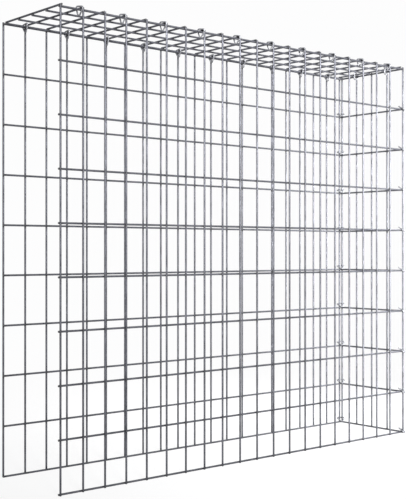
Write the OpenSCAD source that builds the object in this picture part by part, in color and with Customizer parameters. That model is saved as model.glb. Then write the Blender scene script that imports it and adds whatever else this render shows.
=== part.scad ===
// Welded wire gabion basket, one add-on bay of a wall: two long side panels, one end panel
// and a lid, tied along their edges with closed wire rings. The left end and the bottom are
// open. +X runs along the wall, +Y from front to back, +Z up. The basket stands on z = 0.

/* [Mesh] */
// Diameter of the mesh wire
wire_d = 4; // [3:0.5:5]
// Distance between upright wires, and between the cross wires of the lid
cell_w = 50; // [40:1:60]
// Distance between the level wires of a panel
cell_h = 100; // [60:1:120]
// Depth to which crossing wires are pressed together at their weld
weld_set = 0.4; // [0.2:0.1:0.8]
// Length of level wire past the last upright at the open end
end_over = 2.5; // [2:0.5:6]
// Height of the uprights above the middle of the top wire
top_over = 4; // [2:0.5:8]

/* [Basket] */
// Cells along a side panel
length_cells = 20; // [8:2:24]
// Cells up a panel
height_cells = 9; // [3:1:10]
// Cells across the end panel
depth_cells = 4; // [2:2:6]

/* [Lid] */
// Distance from the corner uprights to the first and last cross wires
lid_inset = 4.5; // [4:0.5:8]
// Length of long wire past the first and last cross wires
lid_over = 2.5; // [2:0.5:4]

/* [Rings] */
// Diameter of the ring wire
ring_wire_d = 3; // [2:0.25:3.5]
// Spare width inside a closed ring, beside the two wires that it ties
ring_slack = 2.5; // [2:0.5:8]
// Spare depth inside a closed ring, above the two wires that it ties
ring_lift = 2.6; // [0.2:0.1:4]
// Spare depth inside a closed ring, under the two wires that it ties
ring_drop = 7.5; // [6:0.5:12]
// Radius to which the ring wire is bent, at its middle
ring_bend_r = 3.5; // [3:0.25:4.5]
// Gap between the two ends of a closed ring
ring_end_gap = 0.6; // [0.3:0.1:1]
// Turn of the rings along the front, whose inner ends lie away from their uprights
front_ring_turn = 8; // [0:1:12]
// Slope of the rings at the front corner, which rise towards the inside
front_ring_slope = 35; // [20:1:38]
// Slope of the rings at the back corner, which rise towards the outside
back_ring_slope = 25; // [15:1:30]

/* [Fit] */
// Gap between pieces that lie against each other
seat_gap = 0.2; // [0.1:0.05:0.4]

/* [Hidden] */
// The mesh wires are drawn as eight-sided bars, as wide across their flats as the wire
bar_sides = 8;
round_sides = 48;
wire_r = wire_d / 2;
bar_r = wire_r / cos(180 / bar_sides);
ring_wire_r = ring_wire_d / 2;
// The straight runs of a ring are a hair slimmer than its bends and reach into them
run_slim = 0.04;
run_reach = 0.3;
// Distance between the middles of two wires that are welded where they cross
cross_step = wire_d - weld_set;

// The end panel's level wires pass just outside the cut ends of the side panels' level wires,
// and its outer uprights stand one wire inside the corner uprights of the side panels
length = length_cells * cell_w;
end_level_step = wire_r + seat_gap;
end_step = end_level_step + cross_step;
x_end = (length + end_step) / 2;
x_open = -x_end;
x_corner = x_open + length;
depth = depth_cells * cell_w;
y_back = depth / 2 + wire_d;
y_front = -y_back;

// Rows of level wire, the lowest lying on the ground
z_top = wire_r + height_cells * cell_h;

// The lid lies with its cross wires on the top wires of the side panels, and its long
// wires hang below them, the outer ones just inside the side panels
z_lid_cross = z_top + wire_d + seat_gap;
z_lid_long = z_lid_cross - cross_step;
y_side_level = y_back - cross_step;
y_lid_outer = y_side_level - wire_d - seat_gap;
x_lid_last = x_corner - lid_inset;
lid_cross_len = 2 * (y_back - wire_r - seat_gap);

// The pairs of wires that the rings tie, as points in the plane of each ring: along the
// sides and the end the first is the panel's top wire, at the corners both are uprights
side_pair = [[-y_side_level, z_top], [-y_lid_outer, z_lid_long]];
end_pair = [[x_end - cross_step, z_top], [x_lid_last, z_lid_cross]];
front_corner_pair = [[x_end, -depth / 2], [x_corner, y_front]];
back_corner_pair = [[x_corner, y_back], [x_end, depth / 2]];

// How far the middle of a corner ring stays from the wires that it goes round or leans on
corner_clear = bar_r + seat_gap + ring_wire_r;

// A closed ring is a triangle with round corners: a crown above the pair of wires and two
// legs that meet at a tip below it. Below its crown bends it narrows by a share of the depth
leg_narrow_share = 0.65;
uprights_depth = corner_clear / cos(front_ring_slope) - ring_bend_r;
side_span = norm(side_pair[1] - side_pair[0]);
end_span = norm(end_pair[1] - end_pair[0]);
corner_span = norm(back_corner_pair[1] - back_corner_pair[0])
    + 2 * leg_narrow_share * max(0, uprights_depth);
ring_w = max(side_span, end_span, corner_span) + wire_d + ring_slack + ring_wire_d;
ring_h = wire_d + ring_lift + ring_drop + ring_wire_d;
crown_half = ring_w / 2 - ring_bend_r;
leg_rise = ring_h - 2 * ring_bend_r;
leg_len = norm([crown_half, leg_rise]);
leg_slope = atan2(crown_half, leg_rise);
end_gap_turn = asin(ring_end_gap / 2 / ring_bend_r);
// Height of the crown's middle over the pair of wires, and how far a ring sits beside an upright
crown_step = wire_r + ring_lift + ring_wire_r;
ring_beside = wire_r + seat_gap + ring_wire_r;
// How far inside the uprights a corner ring leans on the level wires, as a share of its height
front_lean_share = 0.33;
back_lean_share = 0.48;

// Every second upright has a ring at the top, and every row below the top has one at a corner
uprights_per_ring = 2;
side_rings = length_cells / uprights_per_ring;
end_rings = depth_cells / uprights_per_ring;
corner_rings = height_cells;

function numbered(name, count) = [for (n = [1:count]) str(name, n)];

// Straight wires, each starting at the origin
module bar_up(len) {
    rotate([0, 0, 180 / bar_sides])
        cylinder(r = bar_r, h = len, $fn = bar_sides);
}

module bar_along(len) {
    rotate([0, 90, 0]) bar_up(len);
}

module bar_across(len) {
    rotate([-90, 0, 0]) bar_up(len);
}

// A side panel at the front: uprights outside, level wires welded to them on the inside
module side_panel() {
    for (i = [0:length_cells])
        translate([x_open + i * cell_w, y_front, 0])
            bar_up(z_top + top_over);
    for (k = [0:height_cells])
        translate([x_open - end_over, -y_side_level, wire_r + k * cell_h])
            bar_along(length + end_over);
}

module front_panel() {
    color("darkgray") side_panel();
}

module back_panel() {
    color("darkgray") mirror([0, 1, 0]) side_panel();
}

module end_panel() {
    level_len = 2 * (y_back - wire_r - seat_gap);
    color("darkgray") {
        for (j = [0:depth_cells])
            translate([x_end, j * cell_w - depth / 2, 0])
                bar_up(z_top + top_over);
        for (k = [0:height_cells])
            translate([x_end - cross_step, -level_len / 2, wire_r + k * cell_h])
                bar_across(level_len);
    }
}

module lid() {
    long_len = length - 2 * (lid_inset - lid_over);
    long_ys = concat(
        [-y_lid_outer],
        [for (j = [1:depth_cells - 1]) j * cell_w - depth / 2],
        [y_lid_outer]
    );
    cross_xs = concat(
        [x_open + lid_inset],
        [for (i = [1:length_cells - 1]) x_open + i * cell_w],
        [x_lid_last]
    );
    color("gray") {
        for (y = long_ys)
            translate([x_open + lid_inset - lid_over, y, z_lid_long])
                bar_along(long_len);
        for (x = cross_xs)
            translate([x, -lid_cross_len / 2, z_lid_cross])
                bar_across(lid_cross_len);
    }
}

// A bend of ring wire about the origin, from the direction of +X
module ring_bend(turn) {
    rotate_extrude(angle = turn, $fn = round_sides)
        translate([ring_bend_r, 0])
            circle(r = ring_wire_r, $fn = round_sides);
}

// A straight run of ring wire along +X, between two bends
module ring_run(len) {
    translate([-run_reach, 0])
        rotate([0, 90, 0])
            cylinder(r = ring_wire_r - run_slim, h = len + 2 * run_reach, $fn = round_sides);
}

// Half of a closed ring: a bend at the end of the crown, a leg and half of the tip
module ring_half() {
    translate([crown_half, -ring_bend_r])
        rotate([0, 0, -leg_slope]) {
            ring_bend(90 + leg_slope);
            translate([ring_bend_r, 0])
                rotate([0, 0, -90])
                    ring_run(leg_len);
        }
    translate([0, ring_bend_r - ring_h])
        rotate([0, 0, end_gap_turn - 90])
            ring_bend(90 - leg_slope - end_gap_turn);
}

// A closed ring in the XY plane, its crown along X with its middle at the origin
module closed_ring() {
    translate([-crown_half, 0])
        ring_run(2 * crown_half);
    ring_half();
    mirror([1, 0, 0]) ring_half();
}

// A ring laid over a pair of wires that stand at two points of the XY plane
module ring_over(pair) {
    along = pair[1] - pair[0];
    translate((pair[0] + pair[1]) / 2)
        rotate([0, 0, atan2(along[1], along[0])])
            translate([0, crown_step])
                closed_ring();
}

// A ring beside an upright of a side panel, tying the panel's top wire to the lid
module side_ring(n, turn = 0) {
    upright = uprights_per_ring * n - 1;
    swing = ring_w / 2 * sin(turn);
    middle = (side_pair[0] + side_pair[1]) / 2;
    translate([x_open + upright * cell_w - ring_beside - swing, middle[0], middle[1]])
        rotate([0, 0, turn])
            rotate([90, 0, 90])
                translate(-middle)
                    ring_over(side_pair);
}

module ring_front_top(n) {
    color("silver") side_ring(n, front_ring_turn);
}

module ring_back_top(n) {
    color("silver") mirror([0, 1, 0]) side_ring(n);
}

// A ring beside an upright of the end panel, tying the panel's top wire to the lid
module ring_end_top(n) {
    upright = uprights_per_ring * n - 1;
    color("silver")
        translate([0, upright * cell_w - depth / 2 - ring_beside, 0])
            rotate([90, 0, 0])
                ring_over([end_pair[1], end_pair[0]]);
}

// A ring round the two uprights that meet at a corner, with its crown outside and higher by
// the slope, leaning on a row of level wires. The lowest one may lie on the ground instead
module corner_ring(pair, slope, lean_share, n) {
    along = pair[1] - pair[0];
    middle = (pair[0] + pair[1]) / 2;
    beside = corner_clear / cos(slope);
    rise = beside + lean_share * ring_h * tan(slope);
    drop = max(-beside * sin(slope), (ring_h - beside) * sin(slope));
    height = max(wire_r + (n - 1) * cell_h + rise, drop + ring_wire_r);
    translate([middle[0], middle[1], height])
        rotate([0, 0, atan2(along[1], along[0])])
            rotate([slope, 0, 0])
                translate([0, beside])
                    closed_ring();
}

module ring_front_corner(n) {
    color("silver") corner_ring(front_corner_pair, -front_ring_slope, front_lean_share, n);
}

module ring_back_corner(n) {
    color("silver") corner_ring(back_corner_pair, back_ring_slope, back_lean_share, n);
}

front_panel();
back_panel();
end_panel();
lid();
for (n = [1:side_rings]) {
    ring_front_top(n);
    ring_back_top(n);
}
for (n = [1:end_rings]) {
    ring_end_top(n);
}
for (n = [1:corner_rings]) {
    ring_front_corner(n);
    ring_back_corner(n);
}
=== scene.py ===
import math
import random

import bmesh
import bpy
from mathutils import Matrix, Vector


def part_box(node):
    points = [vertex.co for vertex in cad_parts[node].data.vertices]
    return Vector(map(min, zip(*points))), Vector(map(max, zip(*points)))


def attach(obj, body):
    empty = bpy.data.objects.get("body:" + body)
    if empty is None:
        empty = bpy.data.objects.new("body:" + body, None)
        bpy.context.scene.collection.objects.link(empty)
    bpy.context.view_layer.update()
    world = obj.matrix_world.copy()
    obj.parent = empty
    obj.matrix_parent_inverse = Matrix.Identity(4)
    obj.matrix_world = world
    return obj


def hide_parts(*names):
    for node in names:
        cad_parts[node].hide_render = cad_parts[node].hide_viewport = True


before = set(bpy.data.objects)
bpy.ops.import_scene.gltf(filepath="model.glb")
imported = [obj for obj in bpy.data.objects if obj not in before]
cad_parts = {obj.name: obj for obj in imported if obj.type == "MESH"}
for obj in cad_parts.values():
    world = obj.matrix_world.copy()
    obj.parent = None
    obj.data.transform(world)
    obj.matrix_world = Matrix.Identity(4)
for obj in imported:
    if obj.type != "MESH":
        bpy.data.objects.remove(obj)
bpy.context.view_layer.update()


# Front panel: a mesh of straight drawn steel wire, 21 uprights outside and 10 level wires
# inside. Every crossing is spot welded, which presses the two wires together and leaves a
# flat from the electrode on each, and the ends are sheared. The wire is zinc coated.
WIRE_D = 0.004
WIRE_R = WIRE_D / 2
WIRE_SIDES = 16
CELL_W = 0.050
CELL_H = 0.100
LENGTH_CELLS = 20
HEIGHT_CELLS = 9
SHEAR_BEVEL = 0.0004
CUT_SNAP = 1e-7
FLAT_HALF = 0.0030
FLAT_FADE = 0.0045
FLAT_DEPTH = 0.00018
BEAD_R = 0.0019
BEAD_HALF_THICK = 0.0011
BEAD_SPREAD = 0.05
BEAD_SIDES, BEAD_RINGS = 8, 5
BEAD_SEED = 11
BEVEL_STEPS = 2
SHARP = math.radians(38)
ZINC_METAL = 0.6
ZINC_SHINE = 0.1
ZINC_EDGE = (0.5, 0.5, 0.5, 1)
ZINC_ROUGH, ZINC_SMOOTH = 0.56, 0.42
# The zinc's two tones are partly its own grey and partly painted shade: set darker so that the
# level wires and the undersides render dark.
ZINC_DULL_AND_PAINTED_SHADE = (0.074, 0.076, 0.088, 1)
ZINC_BRIGHT_AND_PAINTED_SHADE = (0.172, 0.175, 0.200, 1)
CLOUD_SCALE = 42.0
CRYSTAL_SCALE, CRYSTAL_SHARE = 430.0, 0.28
LINES_ACROSS, LINES_ALONG, LINES_SHARE = 2600.0, 45.0, 0.25
SCORCH_NEAR, SCORCH_FAR, SCORCH_SHARE = 0.0025, 0.0085, 0.6
SCORCHED = (0.068, 0.068, 0.074, 1)
SHEARED = (0.120, 0.119, 0.120, 1)
SHEARED_BRIGHT = (0.240, 0.238, 0.238, 1)
SHEAR_LINES = (4200.0, 600.0, 4200.0)
WELD_LUMPS = 900.0


def new_material(name):
    """A material of dull metal with its shader, and the Object coordinates to read."""
    material = bpy.data.materials.new(name)
    material.use_nodes = True
    nodes = material.node_tree.nodes
    shader = nodes["Principled BSDF"]
    shader.inputs["Metallic"].default_value = ZINC_METAL
    shader.inputs["Specular IOR Level"].default_value = ZINC_SHINE
    shader.inputs["Specular Tint"].default_value = ZINC_EDGE
    coords = nodes.new("ShaderNodeTexCoord").outputs["Object"]
    return material, shader, coords


def add_node(material, kind, settings=None, **inputs):
    """A node of a kind, with its settings and its inputs set or linked."""
    node = material.node_tree.nodes.new(kind)
    for key, value in (settings or {}).items():
        setattr(node, key, value)
    for key, value in inputs.items():
        socket = node.inputs[int(key[1:]) if key[0] == "n" else key.replace("_", " ")]
        if isinstance(value, bpy.types.NodeSocket):
            material.node_tree.links.new(value, socket)
        else:
            socket.default_value = value
    return node


def noise(material, coords, scale, detail):
    return add_node(
        material, "ShaderNodeTexNoise", Vector=coords, Scale=scale, Detail=detail
    ).outputs["Fac"]


def lines_along(material, coords, scales):
    """Noise that is drawn out into lines, by its scale along each axis."""
    drawn_out = add_node(material, "ShaderNodeMapping", n0=coords, Scale=scales)
    return noise(material, drawn_out.outputs["Vector"], 1.0, 2.0)


def blend_values(material, first, second, share):
    return add_node(
        material, "ShaderNodeMix", {"data_type": "FLOAT"}, n0=share, n2=first, n3=second
    ).outputs[0]


def blend_colours(material, share, first, second):
    return add_node(
        material, "ShaderNodeMix", {"data_type": "RGBA"}, n0=share, n6=first, n7=second
    ).outputs[2]


def spread(material, value, low, high, to_low, to_high):
    return add_node(
        material,
        "ShaderNodeMapRange",
        Value=value,
        From_Min=low,
        From_Max=high,
        To_Min=to_low,
        To_Max=to_high,
    ).outputs["Result"]


def finish(material, shader, colour, roughness, relief, strength, depth):
    """Gives a metal its colour, its roughness and a relief of a strength and depth."""
    bump = add_node(
        material, "ShaderNodeBump", Strength=strength, Distance=depth, Height=relief
    )
    links = material.node_tree.links
    links.new(colour, shader.inputs["Base Color"])
    links.new(roughness, shader.inputs["Roughness"])
    links.new(bump.outputs["Normal"], shader.inputs["Normal"])
    return material


def zinc_wire(name, axis, first_weld, weld_step):
    """Zinc on drawn wire that runs along an axis: cloudy greys, small crystals, drawing
    lines along the wire, and a duller scorch beside each weld. The greys are partly painted
    shade, set darker so that the level wires and the undersides render dark."""
    material, shader, coords = new_material(name)
    scales = [LINES_ACROSS] * 3
    scales[axis] = LINES_ALONG
    lines = lines_along(material, coords, scales)
    clouds = noise(material, coords, CLOUD_SCALE, 4.0)
    crystals = add_node(
        material, "ShaderNodeTexVoronoi", Vector=coords, Scale=CRYSTAL_SCALE
    ).outputs["Color"]
    mottle = blend_values(material, clouds, crystals, CRYSTAL_SHARE)
    mottle = blend_values(material, mottle, lines, LINES_SHARE)
    tone = spread(material, mottle, 0.32, 0.68, 0.0, 1.0)
    colour = blend_colours(material, tone, ZINC_DULL_AND_PAINTED_SHADE, ZINC_BRIGHT_AND_PAINTED_SHADE)
    along = add_node(material, "ShaderNodeSeparateXYZ", n0=coords).outputs[axis]
    past_first = add_node(
        material, "ShaderNodeMath", {"operation": "SUBTRACT"}, n0=along, n1=first_weld
    ).outputs[0]
    to_weld = add_node(
        material, "ShaderNodeMath", {"operation": "PINGPONG"}, n0=past_first, n1=weld_step / 2
    ).outputs[0]
    scorch = spread(material, to_weld, SCORCH_NEAR, SCORCH_FAR, SCORCH_SHARE, 0.0)
    colour = blend_colours(material, scorch, colour, SCORCHED)
    roughness = spread(material, mottle, 0.3, 0.7, ZINC_ROUGH, ZINC_SMOOTH)
    relief = blend_values(material, lines, crystals, 0.35)
    return finish(material, shader, colour, roughness, relief, 0.35, 0.00012)


def weld_zinc():
    """The squeezed-out weld metal: dull, scorched and lumpy, on the wire's zinc tone, which is
    partly painted shade.
    """
    material, shader, coords = new_material("weld_zinc")
    lumps = noise(material, coords, WELD_LUMPS, 3.0)
    colour = blend_colours(material, lumps, SCORCHED, ZINC_DULL_AND_PAINTED_SHADE)
    roughness = spread(material, lumps, 0.3, 0.7, 0.68, 0.50)
    return finish(material, shader, colour, roughness, lumps, 0.5, 0.0002)


def sheared_steel():
    """The bare steel of a sheared end, with the lines that the shear drew across it."""
    material, shader, coords = new_material("sheared_steel")
    lines = lines_along(material, coords, SHEAR_LINES)
    colour = blend_colours(material, lines, SHEARED, SHEARED_BRIGHT)
    roughness = spread(material, lines, 0.3, 0.7, 0.55, 0.38)
    return finish(material, shader, colour, roughness, lines, 0.3, 0.0001)


def straight_wire(length, welds, flat_side, coat):
    """A wire from the origin along +Z. Its welds are heights on it, flat_side is the side
    that the electrodes pressed, and coat is the place of its zinc among the materials."""
    bm = bmesh.new()
    bmesh.ops.create_cone(
        bm,
        cap_ends=True,
        segments=WIRE_SIDES,
        radius1=WIRE_R,
        radius2=WIRE_R,
        depth=length,
        matrix=Matrix.Translation((0, 0, length / 2)),
    )
    for face in bm.faces:
        face.material_index = SHEARED_END if len(face.verts) > 4 else coat
    ends = [face for face in bm.faces if face.material_index == SHEARED_END]
    rims = [edge for end in ends for edge in end.edges]
    bmesh.ops.bevel(
        bm,
        geom=rims,
        offset=SHEAR_BEVEL,
        offset_type="OFFSET",
        segments=BEVEL_STEPS,
        profile=0.5,
        affect="EDGES",
        material=-1,
    )
    for weld in welds:
        for step in (-FLAT_FADE, -FLAT_HALF, FLAT_HALF, FLAT_FADE):
            if SHEAR_BEVEL < weld + step < length - SHEAR_BEVEL:
                bmesh.ops.bisect_plane(
                    bm,
                    geom=bm.verts[:] + bm.edges[:] + bm.faces[:],
                    dist=CUT_SNAP,
                    plane_co=(0, 0, weld + step),
                    plane_no=(0, 0, 1),
                )
    pressed = WIRE_R - FLAT_DEPTH
    for vert in bm.verts:
        proud = vert.co.dot(flat_side) - pressed
        if proud > 0 and min(abs(vert.co.z - w) for w in welds) < FLAT_HALF + SHEAR_BEVEL:
            vert.co -= proud * flat_side
    mesh = bpy.data.meshes.new("one_wire")
    bm.to_mesh(mesh)
    bm.free()
    return mesh


def one_bead():
    """A weld bead about the origin, squat along Z."""
    bm = bmesh.new()
    bmesh.ops.create_uvsphere(
        bm, u_segments=BEAD_SIDES, v_segments=BEAD_RINGS, radius=BEAD_R
    )
    bmesh.ops.scale(bm, vec=(1, 1, BEAD_HALF_THICK / BEAD_R), verts=bm.verts)
    for face in bm.faces:
        face.material_index = WELD
    mesh = bpy.data.meshes.new("one_bead")
    bm.to_mesh(mesh)
    bm.free()
    return mesh


def lay(bm, mesh, place):
    """Adds a copy of a wire, a bead or a ring to a piece, put in its place."""
    before = len(bm.verts)
    bm.from_mesh(mesh)
    bm.verts.ensure_lookup_table()
    bmesh.ops.transform(bm, matrix=place, verts=bm.verts[before:])


def lay_bead(bm, at, turn):
    """A weld bead at a crossing, each of a slightly other size and turn."""
    swell = 1 + BEAD_SPREAD * (2 * bead_chance.random() - 1)
    roll = Matrix.Rotation(math.pi * bead_chance.random(), 4, "Z")
    lay(bm, bead, Matrix.Translation(at) @ turn @ roll @ Matrix.Scale(swell, 4))


def make_piece(bm, name, materials):
    """Closes a bmesh into a smooth-shaded piece with crisp edges."""
    bmesh.ops.recalc_face_normals(bm, faces=bm.faces[:])
    for face in bm.faces:
        face.smooth = True
    for edge in bm.edges:
        edge.smooth = not edge.is_manifold or edge.calc_face_angle() < SHARP
    mesh = bpy.data.meshes.new(name)
    bm.to_mesh(mesh)
    bm.free()
    for material in materials:
        mesh.materials.append(material)
    made = bpy.data.objects.new(name, mesh)
    bpy.context.scene.collection.objects.link(made)
    return made


front_low, front_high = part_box("front_panel")
base_z = front_low.z + WIRE_R
corner_x = front_high.x - WIRE_R
open_x = corner_x - LENGTH_CELLS * CELL_W
upright_len = front_high.z - front_low.z
row_zs = [base_z + k * CELL_H for k in range(HEIGHT_CELLS + 1)]
column_xs = [open_x + i * CELL_W for i in range(LENGTH_CELLS + 1)]

UP, ALONG, ACROSS, WELD, SHEARED_END = range(5)
wire_coats = [
    zinc_wire("zinc_upright_wire", 2, base_z, CELL_H),
    zinc_wire("zinc_long_wire", 0, open_x, CELL_W),
    zinc_wire("zinc_cross_wire", 1, 0.0, CELL_W),
    weld_zinc(),
    sheared_steel(),
]
bead = one_bead()
bead_chance = random.Random(BEAD_SEED)
along_x = Matrix.Rotation(math.radians(90), 4, "Y")
facing_y = Matrix.Rotation(math.radians(90), 4, "X")


def side_mesh(out):
    """A side panel's mesh. out is -1 at the front and 1 at the back, the side on which
    its uprights stand."""
    bm = bmesh.new()
    upright_y = out * (-front_low.y - WIRE_R)
    level_y = out * (-front_high.y + WIRE_R)
    outwards = Vector((0, out, 0))
    upright = straight_wire(upright_len, [z - front_low.z for z in row_zs], outwards, UP)
    level = straight_wire(
        corner_x - front_low.x, [x - front_low.x for x in column_xs], -outwards, ALONG
    )
    for x in column_xs:
        lay(bm, upright, Matrix.Translation((x, upright_y, front_low.z)))
    for z in row_zs:
        lay(bm, level, Matrix.Translation((front_low.x, level_y, z)) @ along_x)
    for x in column_xs:
        for z in row_zs:
            lay_bead(bm, (x, (upright_y + level_y) / 2, z), facing_y)
    return bm


front_panel = make_piece(side_mesh(-1), "front_mesh_panel", wire_coats)
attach(front_panel, "root")
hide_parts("front_panel")


# Back panel: the same welded mesh as the front, of the same zinc-coated wire, turned round
# so that its uprights stand outside, two hundred millimetres behind the front panel.
back_panel = make_piece(side_mesh(1), "back_mesh_panel", wire_coats)
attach(back_panel, "root")
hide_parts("back_panel")


# End panel: a narrow welded mesh of the same wire that closes the right end, 5 uprights
# outside and 10 level wires inside. It is tied to the two sides with rings at the corners.
DEPTH_CELLS = 4
END_LEVEL_SHORT = 0.0002
end_low, end_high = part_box("end_panel")
end_upright_x = end_high.x - WIRE_R
end_level_x = end_low.x + WIRE_R
end_level_low = end_low.y + END_LEVEL_SHORT
end_level_len = end_high.y - end_low.y - 2 * END_LEVEL_SHORT
end_ys = [end_low.y + WIRE_R + j * CELL_W for j in range(DEPTH_CELLS + 1)]
along_y = Matrix.Rotation(math.radians(-90), 4, "X")
outwards_x = Vector((1, 0, 0))

bm = bmesh.new()
end_upright = straight_wire(upright_len, [z - end_low.z for z in row_zs], outwards_x, UP)
end_level = straight_wire(
    end_level_len, [y - end_level_low for y in end_ys], -outwards_x, ACROSS
)
for y in end_ys:
    lay(bm, end_upright, Matrix.Translation((end_upright_x, y, end_low.z)))
for z in row_zs:
    lay(bm, end_level, Matrix.Translation((end_level_x, end_level_low, z)) @ along_y)
for y in end_ys:
    for z in row_zs:
        lay_bead(bm, ((end_upright_x + end_level_x) / 2, y, z), along_x)
end_panel = make_piece(bm, "end_mesh_panel", wire_coats)
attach(end_panel, "root")
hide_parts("end_panel")


# Lid: a long narrow welded mesh of the same wire with square cells, 5 long wires below and
# 21 cross wires on top. It lies with its cross wires on the side panels' top wires.
LID_OVER = 0.0025
SEAT_GAP = 0.0002
lid_low, lid_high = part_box("lid")
lid_long_z = lid_low.z + WIRE_R
lid_cross_z = lid_high.z - WIRE_R
lid_outer_y = -front_high.y + WIRE_R - WIRE_D - SEAT_GAP
lid_ys = [-lid_outer_y, *end_ys[1:-1], lid_outer_y]
lid_xs = [lid_low.x + LID_OVER, *column_xs[1:-1], lid_high.x - LID_OVER]
upwards = Vector((0, 0, 1))

bm = bmesh.new()
lid_long = straight_wire(
    lid_high.x - lid_low.x,
    [x - lid_low.x for x in lid_xs],
    along_x.to_3x3().inverted() @ -upwards,
    ALONG,
)
lid_cross = straight_wire(
    lid_high.y - lid_low.y,
    [y - lid_low.y for y in lid_ys],
    along_y.to_3x3().inverted() @ upwards,
    ACROSS,
)
for y in lid_ys:
    lay(bm, lid_long, Matrix.Translation((lid_low.x, y, lid_long_z)) @ along_x)
for x in lid_xs:
    lay(bm, lid_cross, Matrix.Translation((x, lid_low.y, lid_cross_z)) @ along_y)
for x in lid_xs:
    for y in lid_ys:
        lay_bead(bm, (x, y, (lid_long_z + lid_cross_z) / 2), Matrix.Identity(4))
lid = make_piece(bm, "mesh_lid", wire_coats)
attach(lid, "root")
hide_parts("lid")


# Rings along the top: pieces of softer 3 mm zinc-coated wire, closed with pliers into a
# triangle round two wires, crown above and cut ends meeting at the tip below. They tie the
# lid to the top wires, beside every second upright of the sides and of the end.
RING_WIRE_R = 0.0015
RING_BEND_R = 0.0035
RING_W = 0.018129
RING_H = 0.0171
RING_END_GAP = 0.0006
RING_SIDES = 14
CROWN_STEPS = 9
TIP_STEPS = 5
RING_BEVEL = 0.0003
RING_MERGE = 1e-6
SIDE_TIED_RISE, SIDE_TIED_RUN = 0.0006, 0.0042
END_TIED_RISE, END_TIED_RUN = -0.0042, 0.0067
FRONT_TURN = math.radians(8)
SIDE_RINGS = 10
END_RINGS = 2
RING_CLOUDS, RING_RUB, RUB_SHARE = 160.0, 1500.0, 0.3
# The ring's two tones are partly painted light: raised above the mesh's zinc to stand in for the
# light that falls on the crowns from above.
RING_DULL_AND_PAINTED_LIGHT = (0.150, 0.153, 0.167, 1)
RING_BRIGHT_AND_PAINTED_LIGHT = (0.400, 0.405, 0.430, 1)


def ring_zinc():
    """Zinc on the rings, rubbed by the pliers. It is brighter than the mesh partly as brighter
    wire and partly as painted light, standing in for the light on the crowns from above.
    """
    material, shader, coords = new_material("zinc_ring_wire")
    clouds = noise(material, coords, RING_CLOUDS, 4.0)
    rub = noise(material, coords, RING_RUB, 2.0)
    mottle = blend_values(material, clouds, rub, RUB_SHARE)
    tone = spread(material, mottle, 0.35, 0.65, 0.0, 1.0)
    colour = blend_colours(material, tone, RING_DULL_AND_PAINTED_LIGHT, RING_BRIGHT_AND_PAINTED_LIGHT)
    roughness = spread(material, mottle, 0.3, 0.7, 0.52, 0.34)
    return finish(material, shader, colour, roughness, rub, 0.3, 0.0001)


def bend(bm, edges, centre, turn, steps):
    """Spins an open end of the ring wire round a bend, and returns the new open end."""
    turned = bmesh.ops.spin(
        bm,
        geom=edges,
        cent=centre,
        axis=(0, 0, 1),
        angle=turn,
        steps=steps,
        use_merge=False,
        use_duplicate=False,
    )
    return [g for g in turned["geom_last"] if isinstance(g, bmesh.types.BMEdge)]


def run_on(bm, edges, step):
    """Extrudes an open end of the ring wire straight on, and returns the new open end."""
    made = bmesh.ops.extrude_edge_only(bm, edges=edges)["geom"]
    moved = [g for g in made if isinstance(g, bmesh.types.BMVert)]
    bmesh.ops.translate(bm, vec=step, verts=moved)
    return [
        g
        for g in made
        if isinstance(g, bmesh.types.BMEdge) and len(g.link_faces) == 1
    ]


def closed_ring():
    """A closed ring in the XY plane, its crown along X with its middle at the origin."""
    crown_half = RING_W / 2 - RING_BEND_R
    leg_rise = RING_H - 2 * RING_BEND_R
    leg_slope = math.atan2(crown_half, leg_rise)
    leg_len = math.hypot(crown_half, leg_rise)
    gap_turn = math.asin(RING_END_GAP / 2 / RING_BEND_R)
    bm = bmesh.new()
    bmesh.ops.create_circle(
        bm,
        cap_ends=False,
        segments=RING_SIDES,
        radius=RING_WIRE_R,
        matrix=Matrix.Rotation(math.radians(90), 4, "Y"),
    )
    end = run_on(bm, bm.edges[:], (crown_half, 0, 0))
    end = bend(
        bm, end, (crown_half, -RING_BEND_R, 0), -(math.pi / 2 + leg_slope), CROWN_STEPS
    )
    down = Vector((-math.sin(leg_slope), -math.cos(leg_slope), 0))
    end = run_on(bm, end, leg_len * down)
    end = bend(
        bm,
        end,
        (0, RING_BEND_R - RING_H, 0),
        -(math.pi / 2 - leg_slope - gap_turn),
        TIP_STEPS,
    )
    tip = bmesh.ops.contextual_create(bm, geom=end)["faces"]
    tip[0].material_index = 1
    bmesh.ops.bevel(
        bm,
        geom=tip[0].edges[:],
        offset=RING_BEVEL,
        offset_type="OFFSET",
        segments=BEVEL_STEPS,
        profile=0.5,
        affect="EDGES",
        material=-1,
    )
    bmesh.ops.mirror(
        bm,
        geom=bm.verts[:] + bm.edges[:] + bm.faces[:],
        matrix=Matrix.Identity(4),
        merge_dist=RING_MERGE,
        axis="X",
    )
    bmesh.ops.remove_doubles(bm, verts=bm.verts[:], dist=RING_MERGE)
    mesh = bpy.data.meshes.new("one_ring")
    bm.to_mesh(mesh)
    bm.free()
    return mesh


def tie(node, turn):
    """A ring turned to its plane and moved to the place of its CAD node."""
    bm = bmesh.new()
    lay(bm, ring, turn)
    spans = [[v.co[k] for v in bm.verts] for k in range(3)]
    middle = Vector([(min(s) + max(s)) / 2 for s in spans])
    low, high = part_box(node)
    bmesh.ops.translate(bm, vec=(low + high) / 2 - middle, verts=bm.verts)
    made = make_piece(bm, node.replace("ring_", "wire_ring_"), ring_coats)
    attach(made, "root")
    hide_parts(node)


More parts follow.
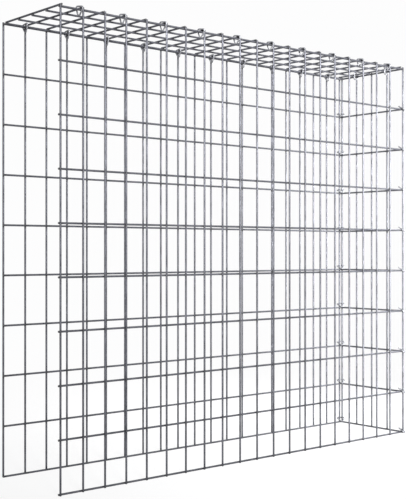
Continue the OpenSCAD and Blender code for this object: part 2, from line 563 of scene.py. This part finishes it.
ring = closed_ring()
ring_coats = [ring_zinc(), wire_coats[SHEARED_END]]
upright_plane = Matrix.Rotation(math.radians(90), 4, "X")
quarter_turn = Matrix.Rotation(math.radians(90), 4, "Z")
across = quarter_turn @ upright_plane
side_lean = math.atan2(SIDE_TIED_RISE, SIDE_TIED_RUN)
end_lean = math.atan2(END_TIED_RISE, END_TIED_RUN)
front_swing = Matrix.Rotation(FRONT_TURN, 4, "Z")
front_turn = front_swing @ across @ Matrix.Rotation(side_lean, 4, "Z")
back_turn = across @ Matrix.Rotation(-side_lean, 4, "Z")
end_turn = upright_plane @ Matrix.Rotation(end_lean, 4, "Z")
for n in range(1, SIDE_RINGS + 1):
    tie(f"ring_front_top_{n}", front_turn)
    tie(f"ring_back_top_{n}", back_turn)
for n in range(1, END_RINGS + 1):
    tie(f"ring_end_top_{n}", end_turn)


# Rings at the closed corners: the same wire rings, one at each row of level wire below the
# top. Each lies round the two uprights that meet at the corner, its crown outside, and leans
# on the level wires. They were closed from the front, and both rows rise towards the back.
CORNER_TIED_DEPTH, CORNER_TIED_RUN = 0.0040, 0.0058
FRONT_SLOPE = math.radians(35)
BACK_SLOPE = math.radians(25)
CORNER_RINGS = 9
corner_turn = math.atan2(CORNER_TIED_DEPTH, CORNER_TIED_RUN)
front_heading = Matrix.Rotation(corner_turn + math.pi, 4, "Z")
back_heading = Matrix.Rotation(-corner_turn, 4, "Z")
front_lean = front_heading @ Matrix.Rotation(-FRONT_SLOPE, 4, "X")
back_lean = back_heading @ Matrix.Rotation(BACK_SLOPE, 4, "X")
for n in range(1, CORNER_RINGS + 1):
    tie(f"ring_front_corner_{n}", front_lean)
    tie(f"ring_back_corner_{n}", back_lean)


# Floor: a plain pale studio floor under the basket. It shows white to the camera and in
# reflections, and keeps a soft shadow near the basket.
FLOOR_R = 9.0
FLOOR_DROP = 0.0003
FLOOR_SIDES = 64
FLOOR_WHITE = (0.982, 0.982, 0.985, 1)
FLOOR_BOUNCE = (0.12, 0.12, 0.12, 1)
FLOOR_LIT = 0.5
SHADOW_SHARE = 0.25
SHADOW_NEAR, SHADOW_FAR = 0.6, 1.8
bm = bmesh.new()
bmesh.ops.create_circle(
    bm,
    cap_ends=True,
    segments=FLOOR_SIDES,
    radius=FLOOR_R,
    matrix=Matrix.Translation((0, 0, -FLOOR_DROP)),
)
floor_paint = bpy.data.materials.new("floor_paint")
floor_paint.use_nodes = True
floor_nodes, floor_links = floor_paint.node_tree.nodes, floor_paint.node_tree.links
floor_nodes.remove(floor_nodes["Principled BSDF"])


def seen_directly(material):
    """One for camera, glossy and transmission rays, and zero for the others."""
    rays = add_node(material, "ShaderNodeLightPath").outputs
    seen = add_node(
        material,
        "ShaderNodeMath",
        {"operation": "MAXIMUM"},
        n0=rays["Is Camera Ray"],
        n1=rays["Is Glossy Ray"],
    )
    return add_node(
        material,
        "ShaderNodeMath",
        {"operation": "MAXIMUM"},
        n0=seen.outputs[0],
        n1=rays["Is Transmission Ray"],
    ).outputs[0]


from_basket = add_node(
    floor_paint,
    "ShaderNodeVectorMath",
    {"operation": "LENGTH"},
    n0=add_node(floor_paint, "ShaderNodeTexCoord").outputs["Object"],
).outputs["Value"]
white_floor = add_node(
    floor_paint,
    "ShaderNodeEmission",
    Color=FLOOR_WHITE,
    Strength=spread(
        floor_paint,
        from_basket,
        SHADOW_NEAR,
        SHADOW_FAR,
        1 - SHADOW_SHARE * FLOOR_LIT,
        1.0,
    ),
)
lit_floor = add_node(
    floor_paint,
    "ShaderNodeBsdfDiffuse",
    Color=spread(floor_paint, from_basket, SHADOW_NEAR, SHADOW_FAR, SHADOW_SHARE, 0.0),
)
shown_floor = add_node(
    floor_paint, "ShaderNodeAddShader", n0=white_floor.outputs[0], n1=lit_floor.outputs[0]
)
bounce_floor = add_node(floor_paint, "ShaderNodeBsdfDiffuse", Color=FLOOR_BOUNCE)
floor_mix = add_node(
    floor_paint,
    "ShaderNodeMixShader",
    n0=seen_directly(floor_paint),
    n1=bounce_floor.outputs[0],
    n2=shown_floor.outputs[0],
)
floor_links.new(floor_mix.outputs[0], floor_nodes["Material Output"].inputs["Surface"])
floor = make_piece(bm, "studio_floor", [floor_paint])


# Light: a tall soft box beside the camera and above it, a slim one in front of the closed
# end and a small lamp beyond it, and an even white room that fills in a little. The room
# shows white behind the basket and in its wires.
ROOM_WHITE = (0.982, 0.982, 0.985, 1)
ROOM_FILL = (0.05, 0.05, 0.05, 1)
KEY_POWER = 17.0
KEY_W = 0.8
KEY_H = 1.2
KEY_SPREAD = math.radians(50)
KEY_AT = Vector((-0.90, -2.00, 1.45))
KEY_TO = Vector((0.30, 0.0, 0.75))
FILL_POWER = 4.0
FILL_W = 0.25
FILL_H = 0.9
FILL_SPREAD = math.radians(45)
FILL_AT = Vector((0.40, -0.95, 0.45))
FILL_TO = Vector((0.52, 0.0, 0.45))
BEYOND_POWER = 12.0
BEYOND_SIZE = 0.5
BEYOND_SPREAD = math.radians(180)
BEYOND_AT = Vector((1.10, 0.0, 0.70))
BEYOND_TO = Vector((0.50, -0.05, 0.50))
room = bpy.data.worlds.new("studio_room")
room.use_nodes = True
bpy.context.scene.world = room
room_nodes, room_links = room.node_tree.nodes, room.node_tree.links
room_fill = room_nodes["Background"]
room_fill.inputs["Color"].default_value = ROOM_FILL
room_white = add_node(room, "ShaderNodeBackground", Color=ROOM_WHITE)
room_mix = add_node(
    room,
    "ShaderNodeMixShader",
    n0=seen_directly(room),
    n1=room_fill.outputs[0],
    n2=room_white.outputs[0],
)
room_links.new(room_mix.outputs[0], room_nodes["World Output"].inputs["Surface"])


def hang_lamp(name, power, width, height, spread_angle, at, to):
    """A soft box hung at one point and aimed at another, out of the camera's sight."""
    light = bpy.data.lights.new(name, "AREA")
    light.shape = "RECTANGLE"
    light.size = width
    light.size_y = height
    light.spread = spread_angle
    light.energy = power
    lamp = bpy.data.objects.new(name, light)
    lamp.location = at
    lamp.rotation_euler = (to - at).to_track_quat("-Z", "Y").to_euler()
    lamp.visible_camera = False
    bpy.context.scene.collection.objects.link(lamp)


hang_lamp("soft_box", KEY_POWER, KEY_W, KEY_H, KEY_SPREAD, KEY_AT, KEY_TO)
hang_lamp("fill_box", FILL_POWER, FILL_W, FILL_H, FILL_SPREAD, FILL_AT, FILL_TO)
hang_lamp("end_light", BEYOND_POWER, BEYOND_SIZE, BEYOND_SIZE, BEYOND_SPREAD, BEYOND_AT, BEYOND_TO)


# Camera: level with the middle of the basket, in front and to the left of its open end,
# looking along the wall to the right. The image is 406 by 499.
LENS = 73.49
SENSOR_W = 36.0
CAMERA_AT = (-1.5273, -1.6920, 0.4509)
CAMERA_TURN = -0.7119
CAMERA_TILT = 0.0013
camera = bpy.data.cameras.new("camera")
camera.sensor_width = SENSOR_W
camera.lens = LENS
camera_stand = bpy.data.objects.new("camera", camera)
camera_stand.location = CAMERA_AT
camera_stand.rotation_euler = (math.pi / 2 + CAMERA_TILT, 0, CAMERA_TURN)
bpy.context.scene.collection.objects.link(camera_stand)
bpy.context.scene.camera = camera_stand
bpy.context.scene.view_settings.view_transform = "Standard"
